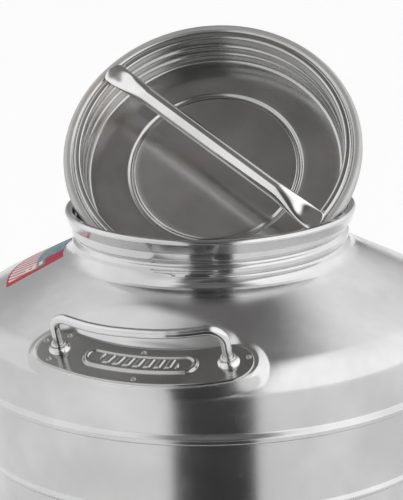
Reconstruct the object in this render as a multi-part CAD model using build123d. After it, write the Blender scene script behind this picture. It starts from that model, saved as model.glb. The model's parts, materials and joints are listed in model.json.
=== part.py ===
from build123d import *
import math
import os

# A 40 litre stainless milk can: drawn shoulder with a screw neck, rolled barrel, drawn bottom,
# two rod handles on stamped seats, and a threaded lid pan with a tube across it.
# Millimetres. +Z is up, the origin is the centre of the base, the handles stand at -Y and +Y,
# and the lid leans in the open mouth.

# ---- body sizes
can_height = 480.0            # floor to the top of the mouth curl
barrel_radius = 176.0         # outside of the barrel sheet
body_sheet = 1.2              # body sheet thickness
seam_gap = 0.05               # clearance where one body sheet slides over another
seam_overlap = 16.0           # length of that overlap
seam_bead_rise = 2.95         # how far a seam bead stands out from its skirt
seam_bead_height = 5.6        # height of a seam bead
seam_bead_lip = 0.9           # how far a sheet's edge stands off its skirt
seam_bead_foot = 1.3          # sheet edge to the full width of its bead
seam_bead_run = 1.2           # length over which a bead runs out into its skirt
bead_bends = (1.8, 1.8, 1.6)  # bends of a seam bead, from the sheet's edge
skirt_height = 43.7           # shoulder corner down to the lower edge of the skirt
rib_drop = 48.2               # seam edge to the middle of the barrel rib
rib_rise = 1.9                # how far a barrel rib stands out
rib_height = 5.0              # height of a barrel rib
rib_bends = [1.0, 1.4, 1.4, 1.0]   # bends of a barrel rib, from the top
bottom_seam_height = 62.0     # floor to the upper edge of the bottom pan
weld_size = 1.0               # leg of the fillet welds on the body
barrel_seam_width = 3.0       # width of the butt weld down the barrel

# ---- shoulder and neck sizes
neck_radius = 98.8            # outside of the neck sheet
shoulder_slope = math.radians(26.57)   # fall of the shoulder below horizontal
shoulder_drop = 29.8          # mouth top to where neck and shoulder lines cross
neck_bend = 12.0              # hollow bend between neck and shoulder
skirt_bend = 24.5             # round bend between shoulder and skirt
curl_width = 5.2              # how far the mouth curl stands out from the neck
curl_height = 9.8             # height of the mouth curl
curl_bend = 2.55              # bend of the curl's upper corners
curl_foot_bend = 1.9          # bend of the curl's lower corner
curl_return = 3.4             # how far the curl's lower edge turns back in
thread_pitch = 8.8            # rise of the neck thread in one turn
thread_depth = 2.0            # radius of the rolled thread groove
neck_thread_drop = 27.3       # mouth top down to the start of the thread
neck_thread_turns = 1.6
neck_thread_start = -10.0     # degrees round from -Y where the thread starts

# ---- bottom sizes
bottom_bend = 22.0            # round bend at the foot of the can
bottom_rise = 13.0            # floor to the underside of the bottom pan's centre
floor_bend = 6.0              # bend between the heel and the raised floor
hoop_inset = 17.25            # skirt to the outside of the base hoop
heel_inset = 8.0              # outside of the base hoop to the edge of the raised floor
heel_run = 14.0               # length of the slope from the heel up to the raised floor
heel_clearance = 9.0          # floor to the underside of the bottom pan's heel
hoop_sheet = 2.0              # base hoop thickness
hoop_curl = 6.0               # width of the base hoop's turned foot
hoop_bend = 3.0               # bend of that foot

# ---- handle sizes
seat_inset = 13.95            # skirt to the middle of a handle seat
seat_sink = 5.05              # how far the middle of a seat lies below the shoulder line
seat_tilt = 24.0              # degrees that a seat leans outwards
seat_margin = 2.4             # seat standing out round the plate
pocket_reach = 48.0           # seat middle to the far edge of the finger pocket
pocket_spread = 1.2           # how much wider the pocket is than the legs stand
pocket_corner_fall = 8.0      # how much nearer the pocket's corners are than its far edge
seat_cut = 45.0               # depth of shoulder cleared above a seat
seat_fill = 16.0              # depth of pad below a seat
plate_arc_radius = 166.0      # middle line of the kidney-shaped plate
plate_width = 32.2
plate_sheet = 1.2
leg_angle = 20.0              # degrees from the plate's middle to each leg
badge_angle = 10.4            # degrees from the plate's middle to the badge's end centres
badge_width = 17.0
badge_rise = 1.9
badge_offset = 1.6            # badge line above the plate's middle line
badge_draft = 12.0            # degrees that the badge's sides lean
rod_diameter = 6.3            # handle rod
grip_height = 30.0            # seat to the middle of the rod
grip_bend = 12.0              # bend of the rod above each leg
bow_share = 0.39              # share of the leg spacing between the bow's two inner corners
bow_front = 0.5               # how far those corners stand in front of the plate's middle line
collar_base = 3.45            # collar wall at its foot
collar_top = 1.55             # collar wall at its top
collar_height = 5.4
collar_round = 0.5            # rounding of the collar's upper edge
leg_gap = 0.05                # clearance of the rod in plate and collar
nugget_radius = 1.9           # spot weld marks
nugget_rise = 0.5
nugget_edge = 4.0             # plate edge to the middle weld marks
nugget_spots = ((0.354, 0.19), (0.127, -0.317), (-0.093, 0.385))  # plate widths from a leg

# ---- lid sizes
lid_sheet = 1.2
lid_rim_gap = 1.9             # mouth curl to the inside of the lid's outer rim
lid_thread_gap = 0.2          # lid wall to the rolled thread of the neck
lid_draft = 1.3               # how much narrower the pan wall is at its floor
lid_depth = 27.8              # rim to the pan floor
lid_corner = 2.6              # bend between pan wall and floor
lid_skirt = 6.0               # depth of the lid's outer rim
lid_bead_inset = 7.1          # outer rim to the middle of the groove in the rim
lid_bead_half = 1.7           # half width and depth of that groove
lid_ring_radius = 61.6        # stiffening ring in the pan floor
lid_ring_width = 4.2
lid_ring_depth = 1.4
lid_floor_dish = 1.2          # how far the floor inside the ring lies lower
lid_thread_rise = 5.8         # pan floor to the lower end of the lid thread
lid_thread_turns = 1.75
lid_thread_start = 40.0       # degrees round from -Y where the lid thread starts
lid_bar_diameter = 12.5
lid_bar_rise = 4.0            # lid rim to the middle of the bar
ring_bends = (1.3, 1.0, 1.0, 1.3)          # bends of the ring in the floor
rim_bends = (1.6, 1.5, 0.6, 1.5, 2.6)      # bends of the rim, from the pan wall out
lid_bar_inset = 5.1           # outer rim to the end of the bar
lid_bar_flat_inset = 1.7      # pan wall to the start of the flattened end
lid_bar_neck = 12.5           # length over which the tube flattens
lid_bar_flat_width = 16.5
lid_bar_flat_height = 2.6
lid_bar_turn = -38.9          # degrees that the bar is turned across the lid
tack_inset = 10.5             # outer rim to the middle of a tack weld
tack_radius = 1.2
tack_height = 1.1
gasket_wall_gap = 1.3         # pan wall to the inside of the gasket
gasket_rim_gap = 0.9          # outside of the gasket to the lid's outer rim
gasket_thickness = 2.3
gasket_drop = 3.3             # rim to the top of the gasket

# ---- the lid's resting place in the mouth
lid_lean = 45.46              # degrees that the open side leans towards the front
lid_facing = 9.8              # degrees round from -Y that the open side faces
lid_side_shift = -1.1         # rim centre from the can axis, to the side
lid_back_shift = 9.5          # rim centre from the can axis, to the back
lid_rest_gap = 0.3            # clearance where the rim leans on the mouth
mouth_round = 1.2             # how far the mouth's rounded edge lets the rim sink in

# ---- label sizes
label_length = 46.0           # along the slope of the shoulder
label_start = 7.2             # neck to the inner edge of the label
label_angle = 36.0            # degrees round the shoulder
label_facing = -101.0         # degrees round from -Y where the label starts
label_thickness = 0.15
label_gap = 0.02

# ---- sizes that follow from those above
skirt_radius = barrel_radius + seam_gap + body_sheet
neck_inside = neck_radius - body_sheet
shoulder_fall = math.tan(shoulder_slope)
shoulder_corner = can_height - shoulder_drop - shoulder_fall * (skirt_radius - neck_radius)
skirt_edge = shoulder_corner - skirt_height
hoop_radius = skirt_radius - hoop_inset
heel_radius = hoop_radius - heel_inset
seat_radius = skirt_radius - seat_inset
seat_height = can_height - shoulder_drop - shoulder_fall * (seat_radius - neck_radius) - seat_sink
leg_x = plate_arc_radius * math.sin(math.radians(leg_angle))
leg_y = plate_arc_radius * (1 - math.cos(math.radians(leg_angle)))
lid_radius = neck_radius + curl_width + lid_rim_gap + lid_sheet
lid_wall_top = neck_inside - thread_depth - lid_thread_gap - lid_sheet
lid_wall_foot = lid_wall_top - lid_draft
bar_flat_half = lid_wall_top - lid_bar_flat_inset
bar_round_half = bar_flat_half - lid_bar_neck


def offset_corner(before, corner, after, distance):
    """The corner of an open polyline moved to the right of its travel by a distance."""
    first = (corner - before).normalized() if before else (after - corner).normalized()
    second = (after - corner).normalized() if after else first
    normal_1 = Vector(first.Y, -first.X)
    normal_2 = Vector(second.Y, -second.X)
    return corner + (normal_1 + normal_2) * (distance / (1 + normal_1.dot(normal_2)))


def sheet_section(points, bends, thickness):
    """Section of an even sheet whose left-hand face runs through points, rounded by bends."""
    left = [Vector(*point) for point in points]
    last = len(left) - 1
    right = []
    right_bends = []
    for i, corner in enumerate(left):
        before = left[i - 1] if i > 0 else None
        after = left[i + 1] if i < last else None
        right.append(offset_corner(before, corner, after, thickness))
        if before and after:
            turns_right = (corner - before).cross(after - corner).Z < 0
            right_bends.append(bends[i - 1] + (-thickness if turns_right else thickness))
    left_line = FilletPolyline(*left, radius=bends)
    right_line = FilletPolyline(*right, radius=right_bends)
    start = Line(left[0], right[0])
    end = Line(left[-1], right[-1])
    return make_face(left_line.edges() + right_line.edges() + [start, end])


def turned(section):
    """A section drawn as (radius, height) turned about the Z axis."""
    return revolve(Plane.XZ * section, Axis.Z)


def ring_tube(inner_radius, outer_radius, low, high):
    """A plain ring between two radii and two heights."""
    wall = Circle(outer_radius) - Circle(inner_radius)
    return extrude(Pos(0, 0, low) * wall, high - low)


def thread_roll(radius, section_radius, low, turns, start_degrees):
    """A round bar wound as a right-handed helix, to add or cut as a rolled thread."""
    line = Helix(pitch=thread_pitch, height=thread_pitch * turns, radius=radius)
    section = Plane(origin=line @ 0, z_dir=line % 0) * Circle(section_radius)
    bar = sweep(section, path=line, is_frenet=True)
    return Rot(0, 0, start_degrees - 90) * Pos(0, 0, low) * bar


def handle_plane(side_degrees):
    """The plane of a handle seat: X along the plate, Y up the shoulder, Z out of the seat."""
    tilt = math.radians(seat_tilt)
    spin = Rot(0, 0, side_degrees)
    return Plane(
        origin=(spin * Pos(0, -seat_radius, seat_height)).position,
        x_dir=(spin * Pos(1, 0, 0)).position,
        z_dir=(spin * Pos(0, -math.sin(tilt), math.cos(tilt))).position,
    )


def plate_slot(half_angle, width):
    """A round-ended slot along the middle line of the handle plate."""
    line = CenterArc((0, plate_arc_radius), plate_arc_radius, -90 - half_angle, 2 * half_angle)
    return SlotArc(line, width)


def seat_pad(grow):
    """Outline of the flat pad under a handle plate, grown by a distance."""
    return plate_slot(leg_angle, plate_width + 2 * (seat_margin + grow))


def seat_outline(grow):
    """Outline of a stamped seat with its finger pocket, grown by a distance."""
    half_end = plate_width / 2 + seat_margin + grow
    side = leg_x + half_end
    corner_x = leg_x + pocket_spread + grow
    corner_y = pocket_reach - pocket_corner_fall + grow
    top = ThreePointArc((-corner_x, corner_y), (0, pocket_reach + grow), (corner_x, corner_y))
    sides = Polyline(
        (corner_x, corner_y),
        (side, leg_y),
        (leg_x, leg_y - half_end / 2),
        (-leg_x, leg_y - half_end / 2),
        (-side, leg_y),
        (-corner_x, corner_y),
    )
    pocket = make_face([top] + sides.edges())
    return seat_pad(grow) + pocket


def seam_bead(edge, direction):
    """Outer face of a seam bead, from its sheet's edge at a height, up (1) or down (-1)."""
    crest = skirt_radius + seam_bead_rise
    run_out = seam_bead_height + seam_bead_run
    return [
        (skirt_radius + seam_bead_lip, edge),
        (crest, edge + direction * seam_bead_foot),
        (crest, edge + direction * (seam_bead_height - seam_bead_foot)),
        (skirt_radius, edge + direction * run_out),
    ]


def shoulder_section():
    """Section of the neck, shoulder and skirt with the seam bead at its lower edge."""
    points = [
        (neck_radius, can_height - curl_height),
        (neck_radius, can_height - shoulder_drop),
        (skirt_radius, shoulder_corner),
    ]
    points += reversed(seam_bead(skirt_edge, 1))
    bends = [neck_bend, skirt_bend, *reversed(bead_bends)]
    return sheet_section(points, bends, body_sheet)


def curl_section():
    """Section of the rolled mouth: the neck sheet turned outwards, down and back in."""
    outer = neck_radius + curl_width
    foot = can_height - curl_height
    points = [
        (neck_inside, foot),
        (neck_inside, can_height),
        (outer, can_height),
        (outer, foot),
        (outer - curl_return, foot),
    ]
    return sheet_section(points, [curl_bend, curl_bend, curl_foot_bend], body_sheet)


def shoulder_core():
    """Solid round space under the middle of the shoulder sheet."""
    middle = body_sheet / 2
    low = skirt_edge + seam_overlap
    high = can_height - curl_height
    line = FilletPolyline(
        (neck_radius - middle, high),
        (neck_radius - middle, can_height - shoulder_drop),
        (skirt_radius - middle, shoulder_corner),
        (skirt_radius - middle, low),
        radius=[neck_bend, skirt_bend],
    )
    closing = Polyline(line @ 1, (0, low), (0, high), line @ 0)
    return turned(make_face(line.edges() + closing.edges()))


def shoulder_shell():
    """Neck, shoulder and skirt drawn from one sheet, with the thread and both handle seats."""
    shell = turned(shoulder_section())
    core = shoulder_core()
    outer = shell + core
    inner = core - shell
    for side in (0, 180):
        seat = handle_plane(side)
        under = seat.offset(-body_sheet)
        outer -= extrude(seat * seat_outline(0), seat_cut)
        outer += extrude(seat * seat_pad(0), -seat_fill)
        inner -= extrude(under * seat_outline(body_sheet), seat_cut)
        inner += extrude(under * seat_pad(-body_sheet), -seat_fill - 2 * body_sheet)
    body = outer - inner
    thread_foot = can_height - neck_thread_drop
    ridge = thread_roll(neck_radius, thread_depth + body_sheet, thread_foot,
                        neck_thread_turns, neck_thread_start)
    ridge &= Pos(0, 0, thread_foot) * Cylinder(neck_radius - body_sheet / 2, 8 * thread_pitch)
    groove = thread_roll(neck_radius, thread_depth, thread_foot,
                         neck_thread_turns, neck_thread_start)
    return body + turned(curl_section()) + ridge - groove


def barrel_parts():
    """Rolled barrel with two ribs, and the butt weld that fills the gap down its side."""
    low = bottom_seam_height - seam_overlap
    high = skirt_edge + seam_overlap
    half = rib_height / 2
    points = [(barrel_radius, high)]
    for middle in (skirt_edge - rib_drop, bottom_seam_height + rib_drop):
        points += [
            (barrel_radius, middle + half),
            (barrel_radius + rib_rise, middle + half / 3),
            (barrel_radius + rib_rise, middle - half / 3),
            (barrel_radius, middle - half),
        ]
    points.append((barrel_radius, low))
    sheet = turned(sheet_section(points, 2 * rib_bends, body_sheet))
    gap = Pos(barrel_radius, 0, (low + high) / 2)
    gap *= Box(10 * body_sheet, barrel_seam_width, high - low + 2)
    return {"barrel_shell": sheet - gap, "barrel_seam_weld": sheet & gap}


def bottom_pan():
    """Drawn bottom: a bead and skirt over the barrel, a round heel and a raised floor."""
    points = seam_bead(bottom_seam_height, -1) + [
        (skirt_radius, heel_clearance),
        (heel_radius, heel_clearance),
        (heel_radius - heel_run, bottom_rise),
        (0, bottom_rise),
    ]
    bends = [*bead_bends, bottom_bend, floor_bend, floor_bend]
    return turned(sheet_section(points, bends, body_sheet))


def base_hoop():
    """Turned hoop under the heel that the can stands on."""
    points = [
        (hoop_radius, heel_clearance),
        (hoop_radius, 0),
        (hoop_radius - hoop_curl, 0),
    ]
    return turned(sheet_section(points, [hoop_bend], hoop_sheet))


def ring_weld(radius, height, rise):
    """Fillet weld round the can, in the corner above or below a sheet's edge."""
    section = make_face(Polyline((radius, height), (radius + weld_size, height),
                                 (radius, height + rise), close=True))
    return turned(section)


def seam_welds():
    """Fillet welds at the shoulder seam, the bottom seam and the base hoop."""
    radius = barrel_radius + seam_gap / 2
    return {
        "shoulder_seam_weld": ring_weld(radius, skirt_edge, -weld_size),
        "bottom_seam_weld": ring_weld(radius, bottom_seam_height, weld_size),
        "base_hoop_weld": ring_weld(hoop_radius, heel_clearance, -weld_size),
    }


def at_legs(shape):
    """A shape repeated at both legs of a handle, in the seat's plane."""
    return [Pos(side * leg_x, leg_y, 0) * shape for side in (-1, 1)]


def handle_plate():
    """Kidney-shaped plate with a raised badge and two leg holes."""
    plate = extrude(plate_slot(leg_angle, plate_width), plate_sheet)
    middle = Pos(0, badge_offset, 0)
    badge = middle * plate_slot(badge_angle, badge_width)
    hollow = middle * plate_slot(badge_angle, badge_width - 2 * plate_sheet)
    plate += extrude(badge, plate_sheet + badge_rise, taper=badge_draft)
    plate -= extrude(hollow, badge_rise, taper=badge_draft)
    for hole in at_legs(Cylinder(rod_diameter / 2 + leg_gap, 4 * plate_sheet)):
        plate -= hole
    return plate


def handle_grip():
    """Bent rod: two legs out of the seat joined by a bow that follows the plate."""
    bow_x = bow_share * leg_x
    line = FilletPolyline(
        (-leg_x, leg_y, 0),
        (-leg_x, leg_y, grip_height),
        (-bow_x, -bow_front, grip_height),
        (bow_x, -bow_front, grip_height),
        (leg_x, leg_y, grip_height),
        (leg_x, leg_y, 0),
        radius=[grip_bend, 2 * leg_x, 2 * leg_x, grip_bend],
    )
    return sweep(Pos(-leg_x, leg_y, 0) * Circle(rod_diameter / 2), path=line)


def handle_collars():
    """Flared collars round the feet of the legs."""
    bore = rod_diameter / 2 + leg_gap
    low = plate_sheet
    high = plate_sheet + collar_height
    foot = rod_diameter / 2 + collar_base
    head = rod_diameter / 2 + collar_top
    flare = ThreePointArc(
        (foot, low + 2 * collar_round),
        (head + collar_round, (low + high) / 2),
        (head, high - collar_round),
    )
    rest = Polyline(flare @ 1, (head - collar_round, high), (bore, high), (bore, low),
                    (foot, low), flare @ 0)
    return Compound(at_legs(turned(make_face([flare] + rest.edges()))))


def spot_welds():
    """Low round marks where the plate is spot welded to its seat."""
    edge = plate_width / 2 - nugget_edge
    places = [(0, edge), (0, -edge)]
    for side in (-1, 1):
        for across, up in nugget_spots:
            places.append((side * (leg_x + across * plate_width), leg_y + up * plate_width))
    mark = Cylinder(nugget_radius, nugget_rise, align=(Align.CENTER, Align.CENTER, Align.MIN))
    mark = chamfer(mark.edges().sort_by(Axis.Z)[-1], nugget_rise / 2)
    return Compound([Pos(x, y, plate_sheet) * mark for x, y in places])


def handle_parts(side_degrees, name):
    """All pieces of one handle, on its seat."""
    seat = handle_plane(side_degrees).location
    return {
        name + "_handle_plate": seat * handle_plate(),
        name + "_handle_grip": seat * handle_grip(),
        name + "_handle_collars": seat * handle_collars(),
        name + "_spot_welds": seat * spot_welds(),
    }


def lid_pan():
    """Lid pressed from one sheet: ringed floor, threaded wall, grooved rim, outer skirt."""
    half_ring = lid_ring_width / 2
    inner_floor = -lid_depth - lid_floor_dish
    groove_middle = lid_radius - lid_bead_inset
    points = [
        (0, inner_floor),
        (lid_ring_radius - half_ring, inner_floor),
        (lid_ring_radius - half_ring / 3, inner_floor - lid_ring_depth),
        (lid_ring_radius + half_ring / 3, inner_floor - lid_ring_depth),
        (lid_ring_radius + half_ring, inner_floor),
        (lid_wall_foot, -lid_depth),
        (lid_wall_top, 0),
        (groove_middle - lid_bead_half, 0),
        (groove_middle, -lid_bead_half),
        (groove_middle + lid_bead_half, 0),
        (lid_radius, 0),
        (lid_radius, -lid_skirt),
    ]
    bends = [*ring_bends, lid_corner, *rim_bends]
    pan = turned(sheet_section(points, bends, lid_sheet))
    middle = (lid_wall_top + lid_wall_foot) / 2
    thread_foot = lid_thread_rise - lid_depth
    ridge = thread_roll(middle, thread_depth + lid_sheet, thread_foot,
                        lid_thread_turns, lid_thread_start)
    ridge -= Cylinder(middle + lid_sheet / 2, 8 * thread_pitch)
    groove = thread_roll(middle, thread_depth, thread_foot, lid_thread_turns, lid_thread_start)
    return pan + ridge - groove


def lid_bar():
    """Round tube across the lid with flattened ends that lie on its rim."""
    flat_height = lid_bar_flat_height / 2 + seam_gap
    flat = Pos(0, flat_height) * SlotOverall(lid_bar_flat_width, lid_bar_flat_height)
    tube = Pos(0, lid_bar_rise) * Circle(lid_bar_diameter / 2)
    bar = extrude(Plane.YZ.offset(-bar_round_half) * tube, 2 * bar_round_half)
    tongue_length = lid_radius - lid_bar_inset - bar_flat_half
    for side in (-1, 1):
        flat_start = Plane.YZ.offset(side * bar_flat_half) * flat
        bar += loft([Plane.YZ.offset(side * bar_round_half) * tube, flat_start])
        bar += extrude(flat_start, side * tongue_length)
    return Rot(0, 0, lid_bar_turn) * bar


def lid_bar_welds():
    """Small tack welds beside the flattened ends of the bar."""
    tack = Cylinder(tack_radius, tack_height, align=(Align.CENTER, Align.CENTER, Align.MIN))
    x = lid_radius - tack_inset
    y = lid_bar_flat_width / 2 + tack_radius + seam_gap
    tacks = [Pos(sx * x, sy * y, 2 * seam_gap) * tack for sx in (-1, 1) for sy in (-1, 1)]
    return Rot(0, 0, lid_bar_turn) * Compound(tacks)


def lid_gasket():
    """Seal ring under the lid's rim, which closes on the mouth curl."""
    top = -gasket_drop
    inner = lid_wall_top + lid_sheet + gasket_wall_gap
    outer = lid_radius - lid_sheet - gasket_rim_gap
    return ring_tube(inner, outer, top - gasket_thickness, top)


def lid_rest_height():
    """Height of the rim's centre over the mouth with the rim's lower edge on the mouth.

    The rim's edge is a circle leaning by lid_lean. It meets the mouth's inner circle where a
    point of the edge, at a distance below the rim's centre along the lean, is at mouth height
    and at the mouth's radius. That gives a quadratic equation for the distance.
    """
    lean = math.radians(lid_lean)
    mouth = neck_inside + mouth_round - lid_rest_gap - abs(lid_side_shift)
    back = lid_back_shift + lid_skirt * math.sin(lean)
    spare = lid_radius**2 - mouth**2 + back**2
    root = math.sqrt((back * math.cos(lean)) ** 2 + spare * math.sin(lean) ** 2)
    distance = (root - back * math.cos(lean)) / math.sin(lean) ** 2
    return distance * math.sin(lean) + lid_skirt * math.cos(lean)


def lid_place():
    """Where the lid leans in the open mouth."""
    centre = Pos(lid_side_shift, lid_back_shift, can_height + lid_rest_height())
    return centre * Rot(0, 0, lid_facing) * Rot(lid_lean, 0, 0)


def shoulder_label():
    """Thin label that lies on the slope of the shoulder."""
    along = Vector(math.cos(shoulder_slope), -math.sin(shoulder_slope))
    out = Vector(math.sin(shoulder_slope), math.cos(shoulder_slope))
    start_height = can_height - shoulder_drop - shoulder_fall * label_start
    start = Vector(neck_radius + label_start, start_height) + out * label_gap
    section = make_face(Polyline(
        start,
        start + along * label_length,
        start + along * label_length + out * label_thickness,
        start + out * label_thickness,
        close=True,
    ))
    patch = revolve(Plane.XZ * section, Axis.Z, revolution_arc=label_angle)
    return Rot(0, 0, label_facing - 90) * patch


def main():
    nodes = {
        "shoulder_shell": shoulder_shell(),
        "bottom_pan": bottom_pan(),
        "base_hoop": base_hoop(),
        "shoulder_label": shoulder_label(),
    }
    nodes.update(barrel_parts())
    nodes.update(seam_welds())
    nodes.update(handle_parts(0, "front"))
    nodes.update(handle_parts(180, "back"))
    leaning = lid_place()
    nodes["lid_pan"] = leaning * lid_pan()
    nodes["lid_bar"] = leaning * lid_bar()
    nodes["lid_bar_welds"] = leaning * lid_bar_welds()
    nodes["lid_gasket"] = leaning * lid_gasket()
    os.makedirs("parts", exist_ok=True)
    for name, shape in nodes.items():
        export_step(shape, "parts/" + name + ".step")
        print(name, round(shape.volume))


main()
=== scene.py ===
import json
import math

import bmesh
import bpy
import numpy as np
from mathutils import Euler, Matrix, Vector


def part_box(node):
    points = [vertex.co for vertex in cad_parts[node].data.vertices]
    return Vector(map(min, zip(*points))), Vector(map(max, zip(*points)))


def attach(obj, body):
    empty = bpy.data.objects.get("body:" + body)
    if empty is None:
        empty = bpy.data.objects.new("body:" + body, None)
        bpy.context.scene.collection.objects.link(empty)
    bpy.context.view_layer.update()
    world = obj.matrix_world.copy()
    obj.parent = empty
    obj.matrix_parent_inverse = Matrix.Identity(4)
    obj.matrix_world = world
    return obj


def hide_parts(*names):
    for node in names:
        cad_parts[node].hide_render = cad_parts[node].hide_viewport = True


bl_info = {
    "name": "Milk Can",
    "version": (1, 0, 0),
    "blender": (4, 5, 0),
    "location": "3D View > Sidebar > Milk Can",
    "description": "Builds the surfaces and finishes of a stainless milk can round its frame",
    "category": "Object",
}

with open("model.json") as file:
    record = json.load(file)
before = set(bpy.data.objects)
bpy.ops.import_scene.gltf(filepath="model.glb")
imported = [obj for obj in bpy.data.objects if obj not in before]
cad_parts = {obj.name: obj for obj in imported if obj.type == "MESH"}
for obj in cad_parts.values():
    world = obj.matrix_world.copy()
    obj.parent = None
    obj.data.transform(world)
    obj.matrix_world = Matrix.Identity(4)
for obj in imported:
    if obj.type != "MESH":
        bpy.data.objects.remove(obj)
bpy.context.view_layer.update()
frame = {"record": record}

# ---- how finely surfaces are cut, in metres and radians
FULL_TURN = 2 * math.pi
CREASE_ANGLE = math.radians(38)       # edges bent further than this stay sharp
ARC_STEP = math.radians(11)           # turn of one facet in a bend
FINE_ARC_STEP = math.radians(5)
SHOULDER_ARC_STEP = math.radians(2.4)
BOTTOM_ARC_STEP = math.radians(6)
THREAD_STEP = 0.00048                 # rows of a threaded wall
SHOULDER_STEP = 0.00095               # rows of the shoulder
BARREL_STEP = 0.006
BOTTOM_STEP = 0.008

# ---- fixed details of the sheet work, in metres
BEAD_POINTS = ((0.0009, 0.0), (0.00295, 0.0013), (0.00295, 0.0043), (0.0, 0.0068))
BEAD_BENDS = (0.0018, 0.0018, 0.0016)
RIB_BENDS = (0.0018, 0.0014, 0.0014, 0.0018)
RING_BENDS = (0.0016, 0.0013, 0.0013, 0.0016)
RIM_BENDS = (0.0019, 0.0016, 0.0009, 0.0016, 0.0036)
SPLIT_RADIUS = 0.112                  # where the neck piece meets the shoulder piece
SEAM_GAP = 0.00005                    # clearance between two body sheets
NUGGET_SECTION = ((0, 0.0001), (0.0007, 0.00012), (0.0011, 0.0003), (0.0014, 0.00042),
                  (0.0017, 0.0003), (0.0019, 0.0), (0, 0))
NUGGET_SPOTS = ((0.354, 0.19), (0.127, -0.317), (-0.093, 0.385))  # plate widths from a leg
TACK_SECTION = ((0, 0.0011), (0.0006, 0.0010), (0.0010, 0.0007), (0.0012, 0.0), (0, 0))


# ============================================================ sizes and colours

def length(name, description, default):
    """A length property in metres."""
    return bpy.props.FloatProperty(name=name, description=description, default=default,
                                   unit="LENGTH", precision=5)


def angle(name, description, degrees):
    """An angle property, given in degrees."""
    return bpy.props.FloatProperty(name=name, description=description,
                                   default=math.radians(degrees), unit="ROTATION")


def colour(name, description, default):
    """A colour property."""
    return bpy.props.FloatVectorProperty(name=name, description=description, default=default,
                                         subtype="COLOR", size=3, min=0.0, max=1.0)


def share(name, description, default, high=1.0):
    """A plain number from nothing to a high limit."""
    return bpy.props.FloatProperty(name=name, description=description, default=default,
                                   min=0.0, max=high)


class BodySizes(bpy.types.PropertyGroup):
    """Sizes of the can's body."""

    sheet: length("Sheet", "Thickness of the body sheet", 0.0012)
    neck_radius: length("Neck radius", "Outside of the neck", 0.0988)
    shoulder_slope: angle("Shoulder slope", "Fall of the shoulder below horizontal", 26.57)
    shoulder_drop: length("Shoulder drop", "Mouth to where neck and shoulder meet", 0.0298)
    neck_bend: length("Neck bend", "Hollow bend between neck and shoulder", 0.012)
    skirt_bend: length("Skirt bend", "Round bend between shoulder and skirt", 0.0245)
    curl_width: length("Curl width", "How far the mouth curl stands out", 0.0052)
    curl_height: length("Curl height", "Height of the mouth curl", 0.0098)
    curl_taper: length("Curl taper", "How far the curl's face runs in towards its foot", 0.0029)
    curl_bend: length("Curl bend", "Bend of the curl's upper edges", 0.0012)
    thread_pitch: length("Thread pitch", "Rise of a thread in one turn", 0.0088)
    thread_depth: length("Thread depth", "Depth of the rolled thread groove", 0.0023)
    thread_half: length("Thread half width", "Half width of the thread groove", 0.0032)
    thread_drop: length("Thread drop", "Mouth down to the start of the thread", 0.0273)
    thread_turns: share("Thread turns", "Turns of the neck thread", 1.6, 4.0)
    thread_start: angle("Thread start", "Where the neck thread starts, from the front", -10.0)
    rib_rise: length("Rib rise", "How far a barrel rib stands out", 0.0019)
    rib_drop: length("Rib drop", "Seam edge to the middle of a barrel rib", 0.0482)
    rib_half: length("Rib half width", "Half width of a barrel rib", 0.0025)
    rib_crest: length("Rib crest", "Half width of the flat on a rib", 0.00083)
    seam_half: length("Seam half width", "Half width of the weld down the barrel", 0.0016)
    seam_rise: length("Seam rise", "How far that weld stands out", 0.00022)
    seam_ripple: length("Seam ripple", "Distance between that weld's ripples", 0.0022)
    seam_inset: length("Seam inset", "Bead edge to the end of that weld", 0.002)
    floor_rise: length("Floor rise", "How far the bottom's floor is raised", 0.004)
    floor_inset: length("Floor inset", "Hoop to the edge of the raised floor", 0.022)
    heel_inset: length("Heel inset", "Hoop to the start of the heel", 0.008)
    heel_bend: length("Heel bend", "Round bend at the foot of the can", 0.022)
    floor_bend: length("Floor bend", "Bends at the edge of the raised floor", 0.006)
    hoop_sheet: length("Hoop sheet", "Thickness of the base hoop", 0.002)
    hoop_foot: length("Hoop foot", "Width of the hoop's turned foot", 0.006)
    hoop_bend: length("Hoop bend", "Bend of the hoop's foot", 0.003)


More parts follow.
